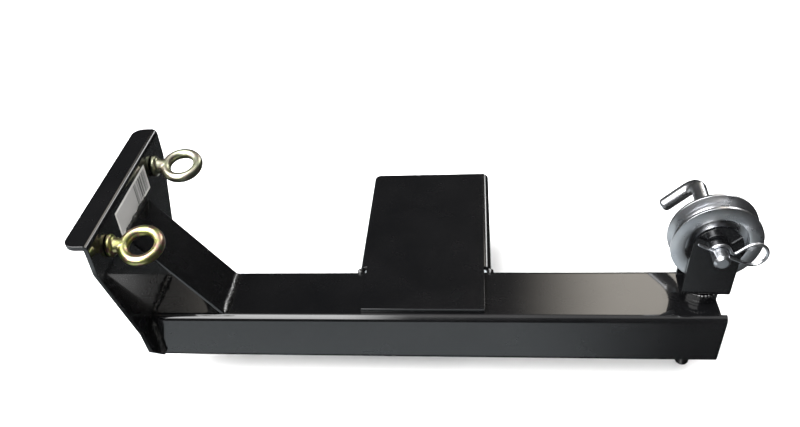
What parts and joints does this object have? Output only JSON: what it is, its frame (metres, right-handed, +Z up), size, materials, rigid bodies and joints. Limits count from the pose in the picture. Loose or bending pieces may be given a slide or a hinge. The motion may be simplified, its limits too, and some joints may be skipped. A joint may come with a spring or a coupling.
{
  "type": "weight distribution hitch",
  "caption": "Welded steel carrier beam for a caravan hitch, with an end plate and lifting eyes, a saddle channel and a swivelling yoke that holds a grooved sheave on a clipped pin.",
  "frame": {"origin": "middle of the saddle's width on its flat seat, above the beam's centre line", "axes": "+X along the beam from the end plate to the sheave, +Y across it to the saddle's open end, +Z up"},
  "size_m": [0.6449, 0.3405, 0.243],
  "materials": {
    "powder_coat": "gloss black powder coat",
    "zinc": "bright zinc plate",
    "yellow_zinc": "yellow zinc plate",
    "bronze": "sintered bronze",
    "nylon": "nylon",
    "label": "blank foil label"
  },
  "bodies": {
    "frame": {"main_beam": "powder_coat", "end_plate": "powder_coat", "brace_plate": "powder_coat", "saddle_channel": "powder_coat", "swivel_sleeve": "powder_coat", "blank_label": "label", "thrust_washer": "powder_coat", "eye_bolt_front": "yellow_zinc", "eye_washer_front": "yellow_zinc", "eye_spring_washer_front": "yellow_zinc", "eye_nut_front": "yellow_zinc", "eye_bolt_rear": "yellow_zinc", "eye_washer_rear": "yellow_zinc", "eye_spring_washer_rear": "yellow_zinc", "eye_nut_rear": "yellow_zinc"},
    "yoke": {"yoke_fork": "powder_coat", "yoke_boss": "powder_coat", "swivel_stud": "powder_coat", "bottom_washer": "zinc", "lock_nut": "zinc", "nut_insert": "nylon", "axle_sleeve": "zinc", "side_washers": "zinc"},
    "wheel": {"sheave": "zinc", "sheave_bush": "bronze"},
    "pin": {"hitch_pin": "zinc", "r_clip": "zinc"}
  },
  "joints": [
    {"name": "yoke_swivel", "type": "hinge", "parent": "frame", "child": "yoke", "pos_m": [0.282, 0, 0], "axis": [0, 0, 1], "continuous": true},
    {"name": "sheave_spin", "type": "hinge", "parent": "yoke", "child": "wheel", "pos_m": [0.282, 0, 0.0653], "axis": [0.0349, 0.9994, 0], "continuous": true},
    {"name": "pin_turn", "type": "hinge", "parent": "yoke", "child": "pin", "pos_m": [0.282, 0, 0.0653], "axis": [0.0349, 0.9994, 0], "continuous": true}
  ]
}
